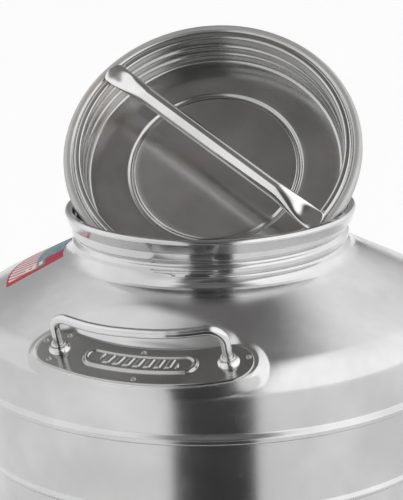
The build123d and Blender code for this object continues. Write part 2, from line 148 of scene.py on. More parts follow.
class HandleSizes(bpy.types.PropertyGroup):
    """Sizes of the two handles and their seats."""

    seat_tilt: angle("Seat tilt", "How far a seat leans outwards", 24.0)
    seat_inset: length("Seat inset", "Skirt to the middle of a seat", 0.01395)
    seat_sink: length("Seat sink", "Depth of a seat below the shoulder line", 0.00505)
    seat_margin: length("Seat margin", "Seat standing out round the plate", 0.0024)
    pocket_reach: length("Pocket reach", "Seat middle to the far edge of the pocket", 0.048)
    pocket_spread: length("Pocket spread", "How much wider the pocket is than the legs", 0.0012)
    corner_fall: length("Corner fall", "Pocket's corners short of its far edge", 0.008)
    pocket_dip: length("Pocket dip", "Dip of the pocket behind the plate", 0.0022)
    wall_inside: length("Wall inside", "Run of a seat's wall inside its outline", 0.0016)
    wall_outside: length("Wall outside", "Run of a seat's wall outside its outline", 0.0045)
    pad_run: length("Pad run", "Extra run of the pad's wall at its ends", 0.0052)
    pad_depth: length("Pad depth", "Depth below a seat where its pad fades out", 0.0105)
    plate_arc: length("Plate arc", "Radius of the plate's middle line", 0.166)
    plate_width: length("Plate width", "Width of the plate", 0.0322)
    plate_sheet: length("Plate sheet", "Thickness of the plate", 0.0012)
    edge_round: length("Edge round", "Rounding of the plate's edge", 0.0008)
    leg_angle: angle("Leg angle", "Plate middle to each leg, round its arc", 20.0)
    badge_angle: angle("Badge angle", "Plate middle to the badge's end centres", 10.4)
    badge_width: length("Badge width", "Width of the raised badge", 0.017)
    badge_rise: length("Badge rise", "Height of the raised badge", 0.0019)
    badge_offset: length("Badge offset", "Badge line above the plate's middle line", 0.0016)
    field_inset: length("Field inset", "Badge edge to its sunk field", 0.0034)
    field_depth: length("Field depth", "Depth of the badge's sunk field", 0.0009)
    bar_spacing: length("Bar spacing", "Distance between the badge's slanted bars", 0.0068)
    bar_rise: length("Bar rise", "Height of the slanted bars", 0.0010)
    rod: length("Rod", "Diameter of the handle rod", 0.0063)
    grip_height: length("Grip height", "Seat to the middle of the rod", 0.030)
    grip_bend: length("Grip bend", "Bend of the rod above each leg", 0.012)
    bow_share: share("Bow share", "Share of the leg spacing between the bow's corners", 0.39)
    bow_front: length("Bow front", "Bow's corners in front of the middle line", 0.0005)
    collar_foot: length("Collar foot", "Radius of a collar at its foot", 0.0071)
    collar_head: length("Collar head", "Radius of a collar at its lip", 0.0047)
    collar_height: length("Collar height", "Height of the collars round the legs", 0.0054)
    collar_round: length("Collar round", "Rounding of a collar's lip", 0.0005)
    nugget_inset: length("Nugget inset", "Plate edge to the middle spot welds", 0.004)


class LabelSizes(bpy.types.PropertyGroup):
    """Sizes of the label on the shoulder."""

    start: angle("Start", "Where the label begins, from the front", -101.0)
    span: angle("Span", "How far the label goes round", 36.0)
    run: length("Run", "Length down the slope", 0.046)
    neck_gap: length("Neck gap", "Neck to the label's inner edge", 0.0072)
    lift: length("Lift", "Shoulder to the label's face", 0.00016)
    gap: length("Gap", "Shoulder to the label's back", 0.00003)


class LidSizes(bpy.types.PropertyGroup):
    """Sizes of the lid and how it leans in the mouth."""

    lean: angle("Lean", "How far the open side leans to the front", 45.46)
    facing: angle("Facing", "Where the open side faces, from the front", 9.8)
    bar_turn: angle("Bar turn", "How the bar is turned across the lid", -38.9)
    sheet: length("Sheet", "Thickness of the lid sheet", 0.0012)
    radius: length("Radius", "Outside of the lid's rim", 0.1071)
    depth: length("Depth", "Rim to the pan floor", 0.0278)
    wall_top: length("Wall at the rim", "Inside of the pan wall at the rim", 0.0942)
    wall_foot: length("Wall at the floor", "Inside of the pan wall at the floor", 0.0929)
    skirt: length("Skirt", "Depth of the outer rim", 0.006)
    groove_inset: length("Groove inset", "Rim's edge to the middle of its groove", 0.0071)
    groove_half: length("Groove half width", "Half width and depth of the groove", 0.0016)
    foot_bend: length("Foot bend", "Bend between the pan wall and the floor", 0.0028)
    ring_radius: length("Ring radius", "Stiffening ring in the floor", 0.0616)
    ring_half: length("Ring half width", "Half width of that ring", 0.0024)
    ring_crest: length("Ring crest", "Half width of the ring's flat", 0.0008)
    ring_depth: length("Ring depth", "Pan floor to the lowest part of the ring", 0.0024)
    dish: length("Dish", "How far the floor inside the ring lies lower", 0.0012)
    thread_height: length("Thread height", "How far the lid thread stands out", 0.0017)
    thread_rise: length("Thread rise", "Floor to the lower end of the thread", 0.0058)
    thread_turns: share("Thread turns", "Turns of the lid thread", 1.75, 4.0)
    thread_start: angle("Thread start", "Where the lid thread starts", 40.0)
    bar_diameter: length("Bar diameter", "Diameter of the tube across the lid", 0.0125)
    bar_rise: length("Bar rise", "Rim to the middle of the bar", 0.004)
    bar_length: length("Bar length", "Half length of the bar", 0.102)
    tongue_inset: length("Tongue inset", "Length of the round end of the bar", 0.005)
    tongue_half: length("Tongue half width", "Half width of the bar's flat ends", 0.00825)
    tongue_height: length("Tongue half height", "Half thickness of the flat ends", 0.0013)
    tongue_gap: length("Tongue gap", "Rim to the underside of the flat ends", 0.00007)
    flat_start: length("Flat start", "Bar's end to where it starts to flatten", 0.040)
    flat_run: length("Flat run", "Length over which the bar flattens", 0.034)
    dent_depth: length("Dent depth", "Depth of the dents in the bar's ends", 0.0007)
    dent_place: length("Dent place", "Bar's end to the middle of a dent", 0.0155)
    dent_run: length("Dent run", "Half length of a dent", 0.0055)
    tack_inset: length("Tack inset", "Rim's edge to the tack welds", 0.0105)
    tack_side: length("Tack side", "Middle of the bar to the tack welds", 0.0095)
    gasket_inner: length("Gasket inner gap", "Pan wall to the gasket", 0.0013)
    gasket_outer: length("Gasket outer gap", "Gasket to the outer rim", 0.0009)
    gasket_drop: length("Gasket drop", "Rim to the top of the gasket", 0.0033)
    gasket_sheet: length("Gasket thickness", "Thickness of the gasket", 0.0023)


class Finishes(bpy.types.PropertyGroup):
    """Colours and finishes."""

    body_colour: colour("Body steel", "Colour of the body's steel", (0.62, 0.62, 0.62))
    lid_colour: colour("Lid steel", "Colour of the lid's steel", (0.53, 0.53, 0.525))
    plate_colour: colour("Plate steel", "Colour of the handle plates", (0.47, 0.47, 0.46))
    rod_colour: colour("Rod steel", "Colour of the grips and collars", (0.70, 0.70, 0.70))
    bar_colour: colour("Bar steel", "Colour of the bar across the lid", (0.72, 0.72, 0.71))
    weld_colour: colour("Weld", "Colour of the welds", (0.45, 0.43, 0.40))
    # Painted shade: this dark tone of the body's welds stands in for the shadow in the corners
    # under the beads where they sit
    seam_shade_colour: colour("Seam weld", "Colour of the welds round the body", (0.17, 0.165, 0.16))
    warm_tint: colour("Warm tint", "Tint of worn places in the lid", (0.50, 0.45, 0.40))
    rubber: colour("Rubber", "Colour of the gasket", (0.055, 0.055, 0.06))
    label_ground: colour("Label ground", "Main colour of the label", (0.16, 0.27, 0.31))
    label_border: colour("Label border", "Colour of the label's border", (0.55, 0.05, 0.05))
    label_stripe: colour("Label stripe", "Colour of the label's stripes", (0.62, 0.22, 0.28))
    body_roughness: share("Body roughness", "Roughness of the body's steel", 0.19)
    neck_roughness: share("Neck roughness", "Roughness of the neck's steel", 0.12)
    lid_roughness: share("Lid roughness", "Roughness of the lid's steel", 0.19)
    plate_roughness: share("Plate roughness", "Roughness of the handle plates", 0.17)
    rod_roughness: share("Rod roughness", "Roughness of the grips and collars", 0.20)
    bar_roughness: share("Bar roughness", "Roughness of the bar across the lid", 0.13)
    rim_dullness: share("Rim dullness", "Roughness that the lid's rim has on top", 0.36)


class StageSettings(bpy.types.PropertyGroup):
    """Floor, light and camera."""

    floor_colour: colour("Floor", "Colour of the floor", (0.93, 0.93, 0.93))
    distance: length("Camera distance", "Camera to the middle of the mouth", 1.1804)
    azimuth: angle("Camera azimuth", "Camera round the can, from the front", 16.7)
    elevation: bpy.props.FloatProperty(
        name="Camera elevation", description="Camera above the mouth", default=0.2485,
        unit="ROTATION")
    pan: bpy.props.FloatProperty(
        name="Pan", description="Camera turned to the side", default=0.0057, unit="ROTATION")
    tilt: bpy.props.FloatProperty(
        name="Tilt", description="Camera turned down", default=-0.0287, unit="ROTATION")
    roll: bpy.props.FloatProperty(
        name="Roll", description="Camera turned about its view", default=0.0188,
        unit="ROTATION")
    lens: bpy.props.FloatProperty(
        name="Lens", description="Focal length on a 24 mm high sensor", default=79.47,
        min=1.0)
    floor_glow: share("Floor glow", "Light that the floor gives back by itself", 0.22)
    card_near: length("Card near", "Middle of the can to the dark card", 0.30)
    card_far: length("Card far", "Middle of the can to the card's far edge", 6.0)
    card_spread: angle("Card spread", "Half the angle that the dark card spans", 17.0)
    sky: share("Sky", "Strength of the room's light", 1.0, 10.0)
    walls: share("Walls", "Strength of the two soft walls of light", 1.0, 10.0)


# ============================================================ lines and surfaces

def rounded(points, bends, arc_step=ARC_STEP):
    """Corner points joined by straight lines, each inner corner rounded by its bend.

    A corner of turn t and bend r is cut r * tan(t / 2) from the corner on both sides, and the
    arc between the cuts is the spherical mean of the two spokes from its centre.
    """
    points = np.asarray(points, float)
    line = [points[:1]]
    for before, corner, after, bend in zip(points, points[1:], points[2:], bends):
        u = (before - corner) / np.linalg.norm(before - corner)
        v = (after - corner) / np.linalg.norm(after - corner)
        turn = math.pi - math.acos(np.clip(u @ v, -1, 1))
        if bend <= 0 or turn < 1e-3:
            line.append(corner[None])
            continue
        cut = bend * math.tan(turn / 2)
        middle = (u + v) / np.linalg.norm(u + v)
        centre = corner + middle * bend / math.cos(turn / 2)
        spokes = corner + u * cut - centre, corner + v * cut - centre
        s = np.linspace(0, 1, max(2, math.ceil(turn / arc_step)) + 1)[:, None]
        arc = np.sin((1 - s) * turn) * spokes[0] + np.sin(s * turn) * spokes[1]
        line.append(centre + arc / math.sin(turn))
    line.append(points[-1:])
    return np.concatenate(line)


def filled(line, step):
    """The same line with even points added where neighbours stand further apart than step."""
    gaps = np.linalg.norm(np.diff(line, axis=0), axis=1)
    counts = np.maximum(1, np.ceil(gaps / step).astype(int))
    starts = np.repeat(np.arange(len(gaps)), counts)
    within = np.arange(counts.sum()) - np.repeat(np.cumsum(counts) - counts, counts)
    part = (within / counts[starts])[:, None]
    points = line[starts] + (line[starts + 1] - line[starts]) * part
    return np.concatenate([points, line[-1:]])


def left_offset(line, distance):
    """A (radius, height) line moved to the left of its travel, along its smoothed normals."""
    travel = np.gradient(line, axis=0)
    travel /= np.linalg.norm(travel, axis=1, keepdims=True)
    return line + np.stack([-travel[:, 1], travel[:, 0]], 1) * distance


def sheet_loop(line, thickness, thin=1):
    """Closed section of a sheet: the line, then its offset run backwards with fewer points."""
    other = left_offset(line, thickness)
    keep = np.unique(np.append(np.arange(0, len(other), thin), len(other) - 1))
    return np.concatenate([line, other[keep][::-1]]), len(line)


def turned(section, angles):
    """A (radius, height) section turned about Z: x = r sin a, y = -r cos a, with a from -Y."""
    radius = section[:, :1]
    height = np.repeat(section[:, 1:], len(angles), axis=1)
    return np.stack([radius * np.sin(angles), -radius * np.cos(angles), height], -1)


def even_angles(count):
    """Even angles for one whole turn, the last one left out."""
    return np.arange(count) * FULL_TURN / count


def smooth_step(value):
    """3 t^2 - 2 t^3 of a value clipped to the range from 0 to 1."""
    t = np.clip(value, 0, 1)
    return t * t * (3 - 2 * t)


def smooth_min(a, b, reach):
    """The lesser of two fields, blended over a reach where they are alike."""
    h = np.clip(0.5 + 0.5 * (b - a) / reach, 0, 1)
    return b + (a - b) * h - reach * h * (1 - h)


def helix_groove(angles, height, foot, pitch, turns, start, half):
    """Depth from 0 to 1 of a right-handed rolled groove at each angle and height.

    The groove's middle climbs one pitch in a turn from its foot. Across it the depth is the
    square of a cosine over its half width, and its ends fade away.
    """
    depth = np.zeros(np.broadcast(angles, height).shape)
    first = math.floor(start / FULL_TURN)
    for lap in range(first, first + int(turns) + 3):
        turn = (angles + lap * FULL_TURN - start) / FULL_TURN
        off = (height - foot - pitch * turn) / half
        across = np.where(np.abs(off) < 1, np.cos(off * math.pi / 2) ** 2, 0)
        ends = smooth_step(turn * 9) * smooth_step((turns - turn) * 30)
        depth = np.maximum(depth, across * ends)
    return depth


def swept(line, radius, sides, upright):
    """A round rod along a 3D line: rings square to the line, levelled by an upright vector."""
    travel = np.gradient(line, axis=0)
    travel /= np.linalg.norm(travel, axis=1, keepdims=True)
    across = np.cross(travel, upright)
    across /= np.linalg.norm(across, axis=1, keepdims=True)
    over = np.cross(across, travel)
    a = even_angles(sides)[None, :, None]
    rings = line[:, None] + radius * (across[:, None] * np.cos(a) + over[:, None] * np.sin(a))
    ends = np.repeat(line[[0, -1], None], sides, axis=1)
    return np.concatenate([ends[:1], rings, ends[1:]])


def dome(places, profile, sides, place):
    """A small turned profile repeated at flat places, then carried by a placing function."""
    shape = turned(np.asarray(profile, float), even_angles(sides))
    return [place(shape + np.array([x, y, z])) for x, y, z in places]


# ============================================================ meshes

def grid_quads(rows, cols, wrap_rows):
    """Corner numbers of the quads of a grid whose columns wrap round."""
    i, j = np.meshgrid(np.arange(rows if wrap_rows else rows - 1), np.arange(cols),
                       indexing="ij")
    below, right = (i + 1) % rows, (j + 1) % cols
    quads = np.stack([i * cols + j, i * cols + right, below * cols + right, below * cols + j], -1)
    return quads.reshape(-1, 4)


def outward(points, quads):
    """The quads turned so that the volume they enclose is positive."""
    a, b, c, d = (points[quads[:, k]] for k in range(4))
    volume = np.einsum("ij,ij->", a, np.cross(b, c)) + np.einsum("ij,ij->", a, np.cross(c, d))
    return quads if volume > 0 else quads[:, ::-1]


def add_piece(name, grids, body, nodes, material, wrap_rows=True, uv=None):
    """One visible piece from closed grids of points, riding on a body and hiding its nodes."""
    points = []
    quads = []
    count = 0
    for grid in grids:
        flat = grid.reshape(-1, 3)
        faces = grid_quads(*grid.shape[:2], wrap_rows)
        quads.append(outward(flat, faces) + count)
        points.append(flat)
        count += len(flat)
    points = np.concatenate(points)
    quads = np.concatenate(quads)
    mesh = bpy.data.meshes.new(name)
    mesh.vertices.add(len(points))
    mesh.vertices.foreach_set("co", points.ravel())
    mesh.loops.add(quads.size)
    mesh.loops.foreach_set("vertex_index", quads.ravel().astype(np.int32))
    mesh.polygons.add(len(quads))
    mesh.polygons.foreach_set("loop_start", np.arange(0, quads.size, 4, dtype=np.int32))
    mesh.update(calc_edges=True)
    if uv is not None:
        layer = mesh.uv_layers.new(name="UVMap")
        layer.data.foreach_set("uv", uv.reshape(-1, 2)[quads.ravel()].ravel())
    work = bmesh.new()
    work.from_mesh(mesh)
    bmesh.ops.remove_doubles(work, verts=work.verts, dist=2e-7)
    bmesh.ops.dissolve_degenerate(work, edges=work.edges, dist=1e-8)
    work.to_mesh(mesh)
    work.free()
    mesh.polygons.foreach_set("use_smooth", np.ones(len(mesh.polygons), dtype=bool))
    mesh.set_sharp_from_angle(angle=CREASE_ANGLE)
    mesh.materials.append(material)
    piece = bpy.data.objects.new(name, mesh)
    bpy.context.scene.collection.objects.link(piece)
    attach(piece, body)
    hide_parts(*nodes)
    return piece


# ============================================================ shader maths

class Wire:
    """A socket that takes part in Python arithmetic: each operator adds its Math node."""

    def __init__(self, shader, socket):
        self.shader = shader
        self.socket = socket

    def maths(self, operation, *values):
        return self.shader.node("ShaderNodeMath", {"operation": operation}, dict(enumerate(values)))

    def __add__(self, other):
        return self.maths("ADD", self, other)

    def __sub__(self, other):
        return self.maths("SUBTRACT", self, other)

    def __mul__(self, other):
        return self.maths("MULTIPLY", self, other)

    def __pow__(self, other):
        return self.maths("POWER", self, other)

    def __rsub__(self, other):
        return self.maths("SUBTRACT", other, self)

    __radd__ = __add__
    __rmul__ = __mul__


class Shader:
    """A node tree that is built through one method."""

    def __init__(self, tree):
        self.tree = tree
        tree.nodes.clear()

    def node(self, kind, settings=None, inputs=None, output=0):
        """Adds a node, makes its settings first, then gives its sockets values or links."""
        node = self.tree.nodes.new(kind)
        for key, value in (settings or {}).items():
            setattr(node, key, value)
        for key, value in (inputs or {}).items():
            if isinstance(value, Wire):
                self.tree.links.new(value.socket, node.inputs[key])
            else:
                node.inputs[key].default_value = value
        return Wire(self, node.outputs[output]) if node.outputs else node

    def smooth(self, value, low, high):
        """0 below low, 1 above high and a smooth step between."""
        return self.node("ShaderNodeMapRange", {"interpolation_type": "SMOOTHSTEP"},
                         {"Value": value, "From Min": low, "From Max": high})

    def noise(self, vector, scale, detail=2.0, roughness=0.5):
        """Fractal noise from about 0 to 1."""
        return self.node("ShaderNodeTexNoise", None,
                         {"Vector": vector, "Scale": scale, "Detail": detail,
                          "Roughness": roughness})

    def blend(self, factor, first, second):
        """A colour between two others."""
        return self.node("ShaderNodeMix", {"data_type": "RGBA"},
                         {0: factor, 6: as_colour(first), 7: as_colour(second)}, 2)

    def vector(self, x, y, z):
        return self.node("ShaderNodeCombineXYZ", None, {0: x, 1: y, 2: z})

    def parts(self, vector):
        """The three numbers of a vector."""
        return [self.node("ShaderNodeSeparateXYZ", None, {0: vector}, k) for k in range(3)]


def as_colour(value):
    """A plain colour with its fourth number, or a wire left as it is."""
    return value if isinstance(value, Wire) else (*value, 1.0)


def new_material(name):
    """An empty material and its shader tree. Its name is kept apart from the frame's own."""
    material = bpy.data.materials.new("can_" + name)
    material.use_nodes = True
    return material, Shader(material.node_tree)


def finish(name):
    """A material made earlier in this run."""
    return bpy.data.materials["can_" + name]


def finish_material(shader, **sockets):
    """The principled surface with its sockets, joined to the material's output."""
    inputs = {key.replace("_", " "): value for key, value in sockets.items()}
    surface = shader.node("ShaderNodeBsdfPrincipled", None, inputs)
    shader.node("ShaderNodeOutputMaterial", None, {"Surface": surface})


def steel(name, tone, roughness, lid=None, grain=1.0, cloud=1.0, tint=None, wave=1.0,
          satin_rim=None):
    """Satin stainless steel: fine turned grain, cloudy polish, soft dents and faint marks.

    A satin rim is a radius beyond which the steel is duller, and how much duller.
    """
    material, shader = new_material(name)
    place = shader.node("ShaderNodeTexCoord", None, None, 3)
    if lid is not None:
        centre, turn = lid
        place = shader.node("ShaderNodeMapping", {"vector_type": "TEXTURE"},
                            {"Vector": place, "Location": centre, "Rotation": turn})
    x, y, z = shader.parts(place)
    radius = (x * x + y * y) ** 0.5
    across = radius * 0.83 + z
    lines = shader.noise(shader.vector(x * 5, y * 5, across * 700), 1.0, 2.0)
    bands = shader.noise(shader.vector(x * 3, y * 3, across * 90), 1.0, 3.0)
    clouds = shader.noise(place, 11.0, 4.0, 0.6)
    patches = shader.noise(place, 34.0, 5.0, 0.65)
    marks = shader.smooth(shader.noise(place, 160.0, 3.0, 0.7), 0.62, 0.74)
    dark = tuple(0.86 * c for c in tone)
    light = tuple(min(1.0, 1.07 * c) for c in tone)
    shade = shader.blend(shader.smooth(clouds, 0.3, 0.7), dark, light)
    if tint is not None:
        worn = shader.smooth(patches * 0.6 + clouds * 0.6, 0.58, 0.8)
        shade = shader.blend(worn * 0.55, shade, tint)
    rough = (roughness + (clouds - 0.5) * (0.16 * cloud) + (patches - 0.5) * (0.08 * cloud)
             + (lines - 0.5) * (0.05 * grain) + marks * 0.04)
    if satin_rim is not None:
        edge, duller = satin_rim
        rough = rough + shader.smooth(radius, edge - 0.0006, edge + 0.0006) * duller
    height = (lines * (6e-7 * grain) + bands * (2.5e-6 * grain) + patches * (7e-6 * wave)
              + shader.noise(place, 7.0, 1.0) * (2.0e-4 * wave))
    normal = shader.node("ShaderNodeBump", None,
                         {"Height": height, "Distance": 1.0, "Strength": 1.0})
    finish_material(shader, Base_Color=shade, Metallic=1.0, Roughness=rough, Normal=normal)
    return material


def weld_material(name, tone):
    """Weld: dull grey bead with straw-coloured heat patches and a rippled surface."""
    material, shader = new_material(name)
    place = shader.node("ShaderNodeTexCoord", None, None, 3)
    grit = shader.noise(place, 900.0, 3.0, 0.6)
    heat = shader.smooth(shader.noise(place, 60.0, 3.0), 0.45, 0.7)
    shade = shader.blend(heat * 0.5, tone, (0.42, 0.34, 0.24))
    normal = shader.node("ShaderNodeBump", None,
                         {"Height": grit * 6e-5, "Distance": 1.0, "Strength": 1.0})
    finish_material(shader, Base_Color=shade, Metallic=1.0, Roughness=grit * 0.25 + 0.32,
                    Normal=normal)
    return material


def rubber_material(tone):
    """Food-grade rubber: matt, faintly mottled, with a fine moulded grain."""
    material, shader = new_material("seal_rubber")
    place = shader.node("ShaderNodeTexCoord", None, None, 3)
    mottle = shader.noise(place, 70.0, 4.0)
    grain = shader.noise(place, 1400.0, 2.0)
    shade = shader.blend(mottle, tone, tuple(1.7 * c for c in tone))
    normal = shader.node("ShaderNodeBump", None,
                         {"Height": grain * 2e-5, "Distance": 1.0, "Strength": 1.0})
    finish_material(shader, Base_Color=shade, Roughness=mottle * 0.2 + 0.5, Normal=normal)
    return material


def label_material(ground, border, stripe):
    """Printed film read from its own map: border, dark ground, stripes and light patches.

    Across runs from the back of the label to its front edge, and down from the neck outwards.
    """
    material, shader = new_material("label_film")
    across, down, _ = shader.parts(shader.node("ShaderNodeTexCoord", None, None, 2))
    place = shader.node("ShaderNodeTexCoord", None, None, 3)
    print_noise = shader.noise(place, 260.0, 3.0)
    wave = shader.node("ShaderNodeMath", {"operation": "SINE"},
                       {0: (across * 2.2 + down * 0.5) * 34.0})
    stripes = shader.smooth(wave, -0.1, 0.35)
    striped = shader.blend(stripes, stripe, (0.86, 0.80, 0.80))
    mottled = shader.blend(shader.smooth(print_noise, 0.35, 0.7), ground, (0.30, 0.42, 0.44))
    outer_part = shader.smooth(down + across * 0.15, 0.56, 0.62)
    body = shader.blend(outer_part, mottled, striped)
    dash = shader.node("ShaderNodeMath", {"operation": "SINE"}, {0: down * 52.0})
    panel = shader.smooth(across, 0.76, 0.78) * (1 - shader.smooth(across, 0.88, 0.90))
    patch_zone = shader.smooth(down, 0.34, 0.36) * (1 - shader.smooth(down, 0.66, 0.68))
    patches = panel * patch_zone * shader.smooth(dash, -0.2, 0.0)
    body = shader.blend(patches, body, (0.80, 0.80, 0.62))
    crimson = shader.smooth(across, 0.70, 0.75) * (1 - shader.smooth(down, 0.30, 0.34))
    body = shader.blend(crimson, body, (0.50, 0.03, 0.10))
    edge = shader.node("ShaderNodeMath", {"operation": "MAXIMUM"},
                       {0: shader.smooth(across, 0.915, 0.93),
                        1: shader.smooth(down, 0.955, 0.965)})
    body = shader.blend(edge, body, border)
    normal = shader.node("ShaderNodeBump", None,
                         {"Height": shader.noise(place, 40.0, 2.0) * 2e-4, "Distance": 1.0,
                          "Strength": 0.6})
    finish_material(shader, Base_Color=body, Roughness=print_noise * 0.1 + 0.45,
                    Specular_IOR_Level=0.15, Normal=normal)
    return material


# ============================================================ the can's own geometry

def can_height():
    """Height of the mouth, from the record's mount."""
    mounts = {mount["name"]: mount for mount in frame["record"]["mounts"]}
    return mounts["mouth_rim"]["pos_m"][2]


def skirt_radius():
    """Outside of the skirts, from the barrel's rib."""
    body = bpy.context.scene.can_body
    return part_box("barrel_shell")[1].x - body.rib_rise + SEAM_GAP + body.sheet


def shoulder_height(radius):
    """Height of the shoulder's straight slope at a radius."""
    body = bpy.context.scene.can_body
    fall = math.tan(body.shoulder_slope) * (radius - body.neck_radius)
    return can_height() - body.shoulder_drop - fall


def seat_frame(side):
    """Middle of a handle seat and its three directions: along the plate, up the shoulder, out.

    The front seat (side 0) leans by the seat's tilt; the back seat (side 1) is half a turn on.
    """
    handle = bpy.context.scene.can_handle
    radius = skirt_radius() - handle.seat_inset
    turn = -1.0 if side else 1.0
    tilt = handle.seat_tilt
    middle = np.array([0, -turn * radius, shoulder_height(radius) - handle.seat_sink])
    along = np.array([turn, 0, 0])
    up = np.array([0, turn * math.cos(tilt), math.sin(tilt)])
    out = np.array([0, -turn * math.sin(tilt), math.cos(tilt)])
    return middle, along, up, out


def on_seat(side):
    """A function that carries points from a seat's own directions into the can."""
    middle, along, up, out = seat_frame(side)
    return lambda points: middle + points @ np.stack([along, up, out])


def leg_place():
    """Where a leg stands in its seat, along the plate and up the shoulder."""
    handle = bpy.context.scene.can_handle
    x = handle.plate_arc * math.sin(handle.leg_angle)
    return x, handle.plate_arc * (1 - math.cos(handle.leg_angle))


def slot_distance(u, w, arc, half_angle, half_width, lift=0.0):
    """Distance from a round-ended slot along an arc, negative inside."""
    w = w - lift
    round_arc = np.clip(np.arctan2(u, arc - w), -half_angle, half_angle)
    near_u = arc * np.sin(round_arc)
    near_w = arc - arc * np.cos(round_arc)
    return np.hypot(u - near_u, w - near_w) - half_width


def seat_distance(u, w):
    """Distance from the outline of a seat with its finger pocket, negative inside."""
    handle = bpy.context.scene.can_handle
    half_end = handle.plate_width / 2 + handle.seat_margin
    leg_x, leg_y = leg_place()
    corner_x = leg_x + handle.pocket_spread
    corner_w = handle.pocket_reach - handle.corner_fall
    rise = handle.pocket_reach - corner_w
    far_radius = (corner_x ** 2 + rise ** 2) / (2 * rise)
    far = np.hypot(u, w - handle.pocket_reach + far_radius) - far_radius
    run = np.array([leg_x + half_end - corner_x, leg_y - corner_w])
    run /= np.linalg.norm(run)
    side = (np.abs(u) - corner_x) * -run[1] + (w - corner_w) * run[0]
    near = leg_y - half_end / 2 - w
    pocket = -smooth_min(-smooth_min_pair(far, side), -near, 0.002)
    return smooth_min(slot_distance(u, w, handle.plate_arc, handle.leg_angle, half_end),
                      pocket, 0.006)


def smooth_min_pair(far, side):
    """The greater of a pocket's far edge and its sides, rounded where they meet."""
    return -smooth_min(-far, -side, 0.016)


def press_seats(points, depth):
    """Presses both handle seats into shoulder points.

    Points move square to the seat's plane, and the plane lies at the given depth for them.
    Above the plane the pad under the plate is scooped flat, and across the finger pocket the
    sheet climbs evenly from a shallow dip behind the plate to the pocket's far edge. Below
    the plane only the pad is filled up to it. Soft steps over short runs make the walls.
    """
    handle = bpy.context.scene.can_handle
    half_end = handle.plate_width / 2 + handle.seat_margin
    for side in (0, 1):
        middle, along, up, out = seat_frame(side)
        local = points - middle
        u, w, n = local @ along, local @ up, local @ out
        pad = slot_distance(u, w, handle.plate_arc, handle.leg_angle, half_end)
        whole = seat_distance(u, w)
        inner, outer = handle.wall_inside, handle.wall_outside
        climb = np.maximum(pad + inner, 0) / (np.maximum(pad - whole, 0) + inner)
        open_part = 1 - smooth_min(climb, 1.0, 0.15)
        scoop = np.maximum(smooth_step((outer - pad) / (outer + inner)), open_part)
        dip = handle.pocket_dip * open_part * smooth_step((pad + 0.003) / 0.004)
        dip = dip * smooth_step((pad - whole) / 0.010)
        run = 0.0012 + handle.pad_run * smooth_step((np.abs(u) - 0.040) / 0.022)
        fill = smooth_step((run - pad) / (run + 0.0009))
        fill = fill * smooth_step((n + depth + handle.pad_depth) / 0.0065)
        above = smooth_step(0.5 + (n + depth) / 0.004)
        inside = fill + (scoop - fill) * above
        near = (np.abs(n) < 0.03) & (local @ np.array([0, along[0], 0]) < 0.09)
        shift = np.where(near, inside * (-depth - n) - dip * above, 0)
        points = points + shift[..., None] * out
    return points


def lid_frame():
    """Middle of the lid's rim and its turn in the can, from the gasket's box."""
    lid = bpy.context.scene.can_lid
    turn = Euler((lid.lean, 0, 0)).to_matrix()
    turn = Matrix.Rotation(lid.facing, 3, "Z") @ turn
    low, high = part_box("lid_gasket")
    under = lid.gasket_drop + lid.gasket_sheet / 2
    centre = (low + high) / 2 + turn @ Vector((0, 0, under))
    return centre, turn


def in_lid(points):
    """Points of the lid's own frame carried to where it leans."""
    centre, turn = lid_frame()
    return np.array(centre) + points @ np.array(turn).T


def in_bar(points):
    """Points of the bar's own frame, X along it, carried to where the lid leans."""
    turn = bpy.context.scene.can_lid.bar_turn
    c, s = math.cos(turn), math.sin(turn)
    return in_lid(points @ np.array([[c, s, 0], [-s, c, 0], [0, 0, 1]]))


# ============================================================ operators

class PieceOperator:
    """What the operators of the can's pieces share."""

    bl_options = {"REGISTER", "UNDO"}

    def execute(self, context):
        self.build(context.scene)
        return {"FINISHED"}


class MILKCAN_OT_finishes(PieceOperator, bpy.types.Operator):
    """Make every finish of the can"""

    bl_idname = "milkcan.finishes"
    bl_label = "Finishes"

    def build(self, scene):
        look = scene.can_finish
        centre, turn = lid_frame()
        lid = (centre, turn.to_euler())
        steel("body_steel", look.body_colour, look.body_roughness)
        steel("neck_steel", look.body_colour, look.neck_roughness, cloud=0.6, wave=0.5)
        rim = scene.can_lid.radius - 0.0056
        steel("lid_steel", look.lid_colour, look.lid_roughness, lid=lid, cloud=1.2,
              tint=tuple(look.warm_tint), grain=0.8, wave=0.5,
              satin_rim=(rim, look.rim_dullness))
        steel("bar_steel", look.bar_colour, look.bar_roughness, lid=lid, grain=0.3, wave=0.4)
        steel("plate_steel", look.plate_colour, look.plate_roughness, grain=0.3, wave=0.4)
        steel("rod_steel", look.rod_colour, look.rod_roughness, grain=0.2, wave=0.3)
        weld_material("ground_weld", tuple(look.weld_colour))
        # The seam weld finish is darkened as painted shade of the corners the body's welds fill
        weld_material("seam_weld", tuple(look.seam_shade_colour))
        rubber_material(tuple(look.rubber))
        label_material(look.label_ground, look.label_border, look.label_stripe)


